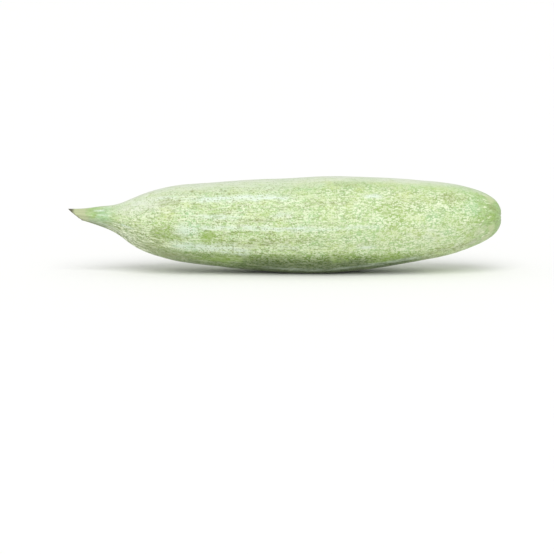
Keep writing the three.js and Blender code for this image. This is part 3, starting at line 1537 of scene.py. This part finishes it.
@dataclass
class SnakeGourd:
    """The whole fruit as one closed mesh: the stalk's cut, the skin and the blossom end.

    Attributes:
        form: the grown form.
        relief: what lifts and dents it.
        marks: where its marks are.
        effects: the shared shader groups.
        rings: rings of points along the skin.
        sides: points round each ring.
        cut_rings: rings across the stalk's cut, with its middle.
        narrowing: the least distance from the axis at which the marks are read, in metres.
        cut_mark_radius: how far from the middle the cut's own marks are read, in metres.
        sharp_edge: edges that turn by more than this stay sharp.
    """

    form: GourdForm
    relief: SkinRelief
    marks: SkinMarks
    effects: Effects
    rings: int = 404
    sides: int = 228
    cut_rings: int = 9
    narrowing: float = 12 * MM
    cut_mark_radius: float = 2.5 * MM
    sharp_edge: float = math.radians(50)

    def angles(self) -> np.ndarray:
        """The angle about the axis of each side."""
        return np.arange(self.sides) * FULL_TURN / self.sides

    def skin_grid(self) -> SkinGrid:
        """The straight skin's rings, the first of them slanted to lie in the stalk's cut.

        Returns:
            The rings from the cut to just short of the blossom end's middle.
        """
        along, out, run = self.form.profile()
        angle = self.angles()
        point, facing = self.form.cut_plane()
        lines = self.form.place(along[:, None], out[:, None], angle[None, :])
        outside = (lines - point) @ facing
        stalk = run < self.form.cut_within * self.form.length
        last = np.array([np.flatnonzero(o > 0)[-1:].sum() for o in outside[stalk].T])
        before, after = outside[last, range(self.sides)], outside[last + 1, range(self.sides)]
        part = np.clip(before / (before - after), 0, 1)
        start = run[last] + part * (run[last + 1] - run[last])
        steps = np.arange(self.rings)[:, None] / self.rings
        path = start + (run[-1] - start) * steps
        grid_share, grid_out = np.interp(path, run, along), np.interp(path, run, out)
        grid_angle = np.broadcast_to(angle, path.shape)
        places = self.form.place(grid_share, grid_out, grid_angle)
        uneven = lumps(places, self.marks.edge_size, Lumps.EDGE)
        return SkinGrid(grid_share, grid_angle, grid_out, path, path - start, places, uneven)

    def pit_marks(self, grid: SkinGrid) -> np.ndarray:
        """Where the pits are.

        Args:
            grid: the straight skin.

        Returns:
            How deep in a pit each point lies, from 0 to 1.
        """
        found = np.zeros_like(grid.share)
        for pit in self.marks.all_pits():
            away = np.hypot((grid.share - pit.share) * self.form.length, grid.across(pit.turn))
            found = np.maximum(found, smooth_step(pit.size, 0.25 * pit.size, away))
        return found

    def band_marks(self, grid: SkinGrid) -> np.ndarray:
        """Where the pale bands are.

        Args:
            grid: the straight skin.

        Returns:
            How strongly a band shows at each point, from 0 to 1.
        """
        found = np.zeros_like(grid.share)
        for band in self.marks.bands:
            fray = self.marks.band_fray * grid.uneven
            across = np.abs(grid.across(band.turn) / band.width + fray)
            soft = min(0.025, 0.4 * (band.end - band.start))
            fade = smooth_step(band.start - soft, band.start + soft, grid.share)
            fade *= smooth_step(band.end + soft, band.end - soft, grid.share)
            found = np.maximum(found, band.strength * fade * smooth_step(1.0, 0.1, across))
        return found

    def patch_marks(self, grid: SkinGrid, stain: Stain) -> np.ndarray:
        """Where the patches of one stain are.

        Args:
            grid: the straight skin.
            stain: which patches.

        Returns:
            How strongly they show at each point, from 0 to 1.
        """
        found = np.zeros_like(grid.share)
        for patch in (each for each in self.marks.patches if each.stain is stain):
            away = grid.away(patch) + self.marks.patch_fray * grid.uneven
            found = np.maximum(found, patch.strength * smooth_step(1.25, 0.15, away))
        return found

    def bloom_marks(self, grid: SkinGrid) -> np.ndarray:
        """Where the pale wax bloom over the shoulder and along the top is, with painted sheen on
        the upward-facing skin.

        Args:
            grid: the straight skin.

        Returns:
            How strongly it shows at each point, from 0 to 1.
        """
        share, up = grid.share, np.sin(grid.angle)
        drift = lumps(grid.places, self.marks.bloom_size, Lumps.BLOOM)
        rim = 0.72 + 0.16 * smooth_step(0.45, 0.65, share)
        top = smooth_step(0, 1, (up - rim) / (1 - rim))
        top *= smooth_step(0.96, 0.86, share + 0.04 * drift) * smooth_step(0.04, 0.13, share)
        shoulder = smooth_step(0.08, 0.14, share) * smooth_step(0.3, 0.16, share)
        shoulder *= smooth_step(0.25, 0.65, up)
        near = smooth_step(124, 98, grid.turn() + 14 * drift)
        return np.maximum(0.9 * top, 0.7 * shoulder) * near

    def belly_marks(self, grid: SkinGrid) -> tuple[np.ndarray, np.ndarray]:
        """Where the belly is painted darker, with uneven soft edges where the skin turns under:
        partly its own deeper green, partly painted shade where the fruit lies.

        Args:
            grid: the straight skin.

        Returns:
            For each point, from 0 to 1, how far it is on the belly, and how far it is undermost.
        """
        share = grid.share
        drift = lumps(grid.places, self.marks.belly_size, Lumps.BELLY)
        round_by = np.abs((grid.turn() + 180) % 360 - 180)
        under = smooth_step(52, 75, round_by)
        beyond = smooth_step(78, 110, round_by)
        raised = 0.04 - 0.09 * smooth_step(0.34, 0.5, share) + 0.21 * smooth_step(0.6, 0.8, share)
        height = np.sin(grid.angle) + raised + 0.14 * drift * under
        along = share + 0.05 * drift * under
        softer = 0.06 * under
        lying = smooth_step(0.15 - softer, 0.24 + softer, along)
        lying *= smooth_step(0.85 + softer, 0.77 - softer, along)
        # The painted shade undermost is stronger from the middle on towards the blossom end.
        resting = lying * (0.4 + 0.6 * smooth_step(0.34 - softer, 0.46 + softer, along))
        below = lying * smooth_step(-0.45, -0.6 - 0.15 * beyond, height) * (1 - 0.35 * beyond)
        undermost = resting * smooth_step(-0.5, -0.73, height) * (1 - 0.6 * beyond)
        return below, undermost

    def skin_places(self, grid: SkinGrid, pits: np.ndarray) -> np.ndarray:
        """The skin's points with all their relief.

        Args:
            grid: the straight skin.
            pits: how deep in a pit each point lies.

        Returns:
            The points, ring by ring, before the belly is pressed.
        """
        relief = self.relief
        swell = relief.swelling * lumps(grid.places, relief.swelling_size, Lumps.SWELLING)
        ripple = relief.ripple * lumps(grid.places, relief.ripple_size, Lumps.RIPPLE)
        fade = smooth_step(0.0, 0.2, grid.share) * smooth_step(1.0, 0.96, grid.share)
        lift = (swell + ripple) * fade + relief.ribs(grid.share, grid.angle)
        lift *= smooth_step(0.0, 4 * MM, grid.out)
        lift -= relief.pit_depth * pits
        places = self.form.place(grid.share, grid.out + lift, grid.angle)
        places[..., 0] += relief.scar(grid.share, grid.out, grid.angle)
        return places

    def cut_places(self, rim: np.ndarray) -> tuple[np.ndarray, np.ndarray]:
        """The stalk's cut face: a low lip round a ring of strands and slightly sunken pith.

        Args:
            rim: the skin's first ring.

        Returns:
            The face's middle followed by its rings from the middle outwards, and each one's share
            of the way to the rim.
        """
        facing = self.form.cut_plane()[1]
        middle = rim.mean(0)
        relief = self.relief
        shares = np.linspace(0, 1, self.cut_rings, endpoint=False)[1:]
        strand_wave = np.cos(2 * relief.rib_count * self.angles())
        rings = []
        for share in shares:
            from_ring = (share - relief.ring_share) / relief.ring_width_share
            ring = relief.ring_height * math.exp(-(from_ring**2))
            dish = ring - relief.pith_depth * (1 - share**2)
            strands = relief.strand_height * strand_wave * share**2
            rings.append(middle + (rim - middle) * share + facing * (dish + strands)[:, None])
        hub = (middle - relief.pith_depth * facing)[None, :]
        return np.concatenate([hub, *rings]), np.concatenate([[0], np.repeat(shares, self.sides)])

    def faces(self, ring_count: int) -> list[tuple[int, ...]]:
        """Faces over a row of rings with a point at each end.

        Args:
            ring_count: how many rings there are; point 0 and the last point close the ends.

        Returns:
            The faces, ring by ring, with their fronts outwards.
        """
        side = range(self.sides)
        after = [(i + 1) % self.sides for i in side]
        last = 1 + ring_count * self.sides
        found: list[tuple[int, ...]] = [(0, 1 + after[i], 1 + i) for i in side]
        for ring in range(ring_count - 1):
            low, high = 1 + ring * self.sides, 1 + (ring + 1) * self.sides
            found += [(low + i, low + after[i], high + after[i], high + i) for i in side]
        low = last - self.sides
        found += [(low + i, low + after[i], last) for i in side]
        return found

    def build(self) -> bpy.types.Object:
        """Makes the fruit, with its finishes' attributes and its unwrapped map.

        Returns:
            The finished object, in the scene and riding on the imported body.
        """
        grid = self.skin_grid()
        pits = self.pit_marks(grid)
        skin = self.skin_places(grid, pits)
        cut, cut_share = self.cut_places(skin[0])
        tip_x = self.form.stalk_x + self.form.outline[-1][0] * self.form.length
        tip = np.array([[tip_x + self.relief.scar_height, 0, self.form.rise_at(np.array(1.0))]])
        places = self.form.settle(np.concatenate([cut, skin.reshape(-1, 3), tip]))

        mesh = bpy.data.meshes.new(NODE)
        ring_count = self.cut_rings - 1 + self.rings
        mesh.from_pydata(places.tolist(), [], self.faces(ring_count))
        mesh.shade_smooth()
        mesh.set_sharp_from_angle(angle=self.sharp_edge)
        self.store_marks(mesh, grid, pits, cut_share)
        self.store_places(mesh, grid, cut_share)
        self.unwrap(mesh)
        for finish in (RindFinish(self.effects), PithFinish(self.effects)):
            mesh.materials.append(finish.material())
        on_cut = np.zeros(len(mesh.polygons), np.int32)
        on_cut[: self.sides * self.cut_rings] = 1
        mesh.polygons.foreach_set("material_index", on_cut)

        gourd = bpy.data.objects.new("snake_gourd_fruit", mesh)
        bpy.context.scene.collection.objects.link(gourd)
        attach(gourd, BODY)
        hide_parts(NODE)
        return gourd

    def store_marks(
        self, mesh: bpy.types.Mesh, grid: SkinGrid, pits: np.ndarray, cut_share: np.ndarray
    ) -> None:
        """Keeps on the mesh how strongly each mark shows at each point.

        Args:
            mesh: the fruit's mesh.
            grid: the straight skin.
            pits: how deep in a pit each point lies.
            cut_share: for the cut face's points, the share of the way to the rim.
        """
        widest = grid.out.max()
        below, undermost = self.belly_marks(grid)
        # Each mark's values on the skin, on the cut face and at the blossom end's middle.
        values = {
            "share": (grid.share, 0.0, 1.0),
            "from_cut": (grid.from_cut / MM, 0.0, grid.from_cut.max() / MM),
            "pale_band": (self.band_marks(grid), 0.0, 0.0),
            "pit": (pits, 0.0, 0.0),
            "bloom": (self.bloom_marks(grid), 0.0, 0.0),
            "below": (below, 0.0, 0.0),
            "undermost": (undermost, 0.0, 0.0),
            "upwards": (np.sin(grid.angle), 0.0, 0.0),
            "from_scar": (np.where(grid.share > 0.9, grid.out, widest) / MM, widest / MM, 0.0),
            "to_rim": (np.ones_like(grid.share), cut_share, 1.0),
        }
        for stain in Stain:
            values[stain.value] = (self.patch_marks(grid, stain), 0.0, 0.0)
        for name, (on_skin, on_cut, at_end) in values.items():
            on_face = np.broadcast_to(on_cut, cut_share.shape)
            column = np.concatenate([on_face, on_skin.ravel(), [at_end]])
            attribute = mesh.attributes.new(name, "FLOAT", "POINT")
            attribute.data.foreach_set("value", column.astype(np.float32))

    def store_places(self, mesh: bpy.types.Mesh, grid: SkinGrid, cut_share: np.ndarray) -> None:
        """Keeps on the mesh where the finishes' flecks and streaks are read, in millimetres.

        They keep their size on the body and narrow towards the ends.

        Args:
            mesh: the fruit's mesh.
            grid: the straight skin.
            cut_share: for the cut face's points, the share of the way to the rim.
        """
        about = np.hypot(grid.out, self.narrowing) / MM
        on_skin = np.stack(
            [grid.run / MM, about * np.cos(grid.angle), about * np.sin(grid.angle)], -1
        )
        turns = np.tile(self.angles(), self.cut_rings - 1)
        out = self.cut_mark_radius / MM * cut_share[1:]
        on_cut = np.zeros((len(cut_share), 3))
        on_cut[1:, 0] = out * np.cos(turns)
        on_cut[1:, 1] = out * np.sin(turns)
        at_end = [[grid.run.max() / MM, 0, self.narrowing / MM]]
        place = mesh.attributes.new("skin_place", "FLOAT_VECTOR", "POINT")
        everywhere = np.concatenate([on_cut, on_skin.reshape(-1, 3), at_end])
        place.data.foreach_set("vector", everywhere.astype(np.float32).ravel())

    def unwrap(self, mesh: bpy.types.Mesh) -> None:
        """Unrolls the skin over most of a square map and lays the cut face in its corner.

        Args:
            mesh: the fruit's mesh.
        """
        corner = 0.05
        edge = 0.002
        middle = corner / 2
        rows = self.cut_rings - 1 + self.rings
        loops = np.empty(len(mesh.loops), np.int32)
        mesh.loops.foreach_get("vertex_index", loops)
        totals = np.empty(len(mesh.polygons), np.int32)
        mesh.polygons.foreach_get("loop_total", totals)
        face = np.repeat(np.arange(len(totals)), totals)
        first = np.concatenate([[0], np.cumsum(totals)[:-1]])
        place_in_face = np.arange(len(loops)) - first[face]
        side = face % self.sides
        ring = np.where(loops == 0, 0, (loops - 1) // self.sides)
        ring = np.minimum(ring, rows)
        pole = (loops == 0) | (loops == rows * self.sides + 1)
        # The second and third corners of a face lie one side further round.
        step = np.where(totals[face] == 4, (place_in_face == 1) | (place_in_face == 2), 0)
        start_fan, end_fan = face < self.sides, face >= len(totals) - self.sides
        step = np.where(start_fan | end_fan, place_in_face == 1, step)
        turn = (side + step + np.where(pole, 0.5, 0)) / self.sides
        skin_row = np.clip((ring - (self.cut_rings - 1)) / self.rings, 0, 1)
        on_cut = face < self.sides * self.cut_rings
        reach = np.where(loops == 0, 0, (ring + 1) / self.cut_rings) * (middle - edge)
        u = np.where(on_cut, middle + reach * np.cos(turn * FULL_TURN), turn)
        on_skin = corner + (1 - corner) * skin_row
        v = np.where(on_cut, middle - edge / 2 + reach * np.sin(turn * FULL_TURN), on_skin)
        layer = mesh.uv_layers.new(name="OFBake", do_init=False)
        layer.uv.foreach_set("vector", np.stack([u, v], -1).astype(np.float32).ravel())


@dataclass(frozen=True)
class Studio:
    """A wide pale floor, an even pale sky, one large soft light and the camera.

    Attributes:
        elevation: how far the camera looks down.
        field: how wide the view is at the fruit, in lengths of the fruit.
        aim_along: how far along from the fruit's middle the camera looks, in lengths of it.
        aim_height: how far above the floor it looks, in lengths of the fruit.
        distance: from the camera to where it looks, in metres.
        sensor: the width of the camera's sensor, in millimetres.
        floor_size: the side of the floor, in metres.
        floor_roughness: how matt the floor is.
        key_towards: the way that the soft light shines.
        key_strength: how strong it is, in watts to a square metre.
        key_spread: how large it looks from the fruit.
        sky_strength: how strong the even light from all round is.
    """

    elevation: float = math.radians(8)
    field: float = 1.2853
    aim_along: float = -0.0172
    aim_height: float = -0.0134
    distance: float = 2.4
    sensor: float = 36.0
    floor_size: float = 24.0
    floor_roughness: float = 0.9
    key_towards: tuple[float, float, float] = (-0.03, 0.76, -1.0)
    key_strength: float = 1.62
    key_spread: float = math.radians(50)
    sky_strength: float = 0.7

    def floor(self) -> bpy.types.Object:
        """Lays the floor that the fruit lies on.

        Returns:
            The floor.
        """
        half = self.floor_size / 2
        corners = [(-half, -half, 0), (half, -half, 0), (half, half, 0), (-half, half, 0)]
        mesh = bpy.data.meshes.new("floor")
        mesh.from_pydata(corners, [], [(0, 1, 2, 3)])
        material, graph, shader = start_material("pale_floor")
        graph.feed(shader.inputs["Base Color"], Tint.FLOOR.linear())
        shader.inputs["Roughness"].default_value = self.floor_roughness
        mesh.materials.append(material)
        floor = bpy.data.objects.new("floor", mesh)
        bpy.context.scene.collection.objects.link(floor)
        return floor

    def key_light(self) -> None:
        """Hangs one large soft light far above, in front."""
        light = bpy.data.lights.new("key_light", "SUN")
        light.angle = self.key_spread
        light.energy = self.key_strength
        lamp = bpy.data.objects.new("key_light", light)
        lamp.rotation_euler = Vector(self.key_towards).to_track_quat("-Z", "Y").to_euler()
        bpy.context.scene.collection.objects.link(lamp)

    def sky(self) -> None:
        """Sets an even pale light from all round."""
        world = bpy.data.worlds.new("studio_sky")
        world.use_nodes = True
        background = world.node_tree.nodes["Background"]
        background.inputs["Color"].default_value = (1.0, 1.0, 1.0, 1.0)
        background.inputs["Strength"].default_value = self.sky_strength
        bpy.context.scene.world = world

    def camera(self, length: float, middle: Vector) -> None:
        """Sets up a long lens, almost level, that looks along +Y.

        Args:
            length: the fruit's length.
            middle: the middle of its box.
        """
        data = bpy.data.cameras.new("camera")
        data.sensor_width = self.sensor
        data.lens = self.sensor * self.distance / (self.field * length)
        target = Vector((middle.x + self.aim_along * length, middle.y, self.aim_height * length))
        back = Vector((0, -math.cos(self.elevation), math.sin(self.elevation)))
        camera = bpy.data.objects.new("camera", data)
        camera.location = target + self.distance * back
        camera.rotation_euler = (-back).to_track_quat("-Z", "Y").to_euler()
        bpy.context.scene.collection.objects.link(camera)
        bpy.context.scene.camera = camera

    def build(self, length: float, middle: Vector) -> None:
        """Builds the whole studio round the fruit.

        Args:
            length: the fruit's length.
            middle: the middle of its box.
        """
        self.camera(length, middle)
        self.floor()
        self.key_light()
        self.sky()
        bpy.context.scene.view_settings.view_transform = "Standard"


def main() -> None:
    """Builds the studio and the fruit, and reports each piece."""
    logging.basicConfig(level=logging.INFO, format="%(name)s: %(message)s")
    low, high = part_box(NODE)
    length = high.x - low.x
    Studio().build(length, (low + high) / 2)
    LOG.info("studio: floor, key light, sky and camera")
    form = GourdForm(stalk_x=low.x, length=length, middle_y=(low.y + high.y) / 2)
    gourd = SnakeGourd(form, SkinRelief(), SkinMarks(), Effects()).build()
    LOG.info("%s: %d faces", gourd.name, len(gourd.data.polygons))


if __name__ == "__main__":
    main()
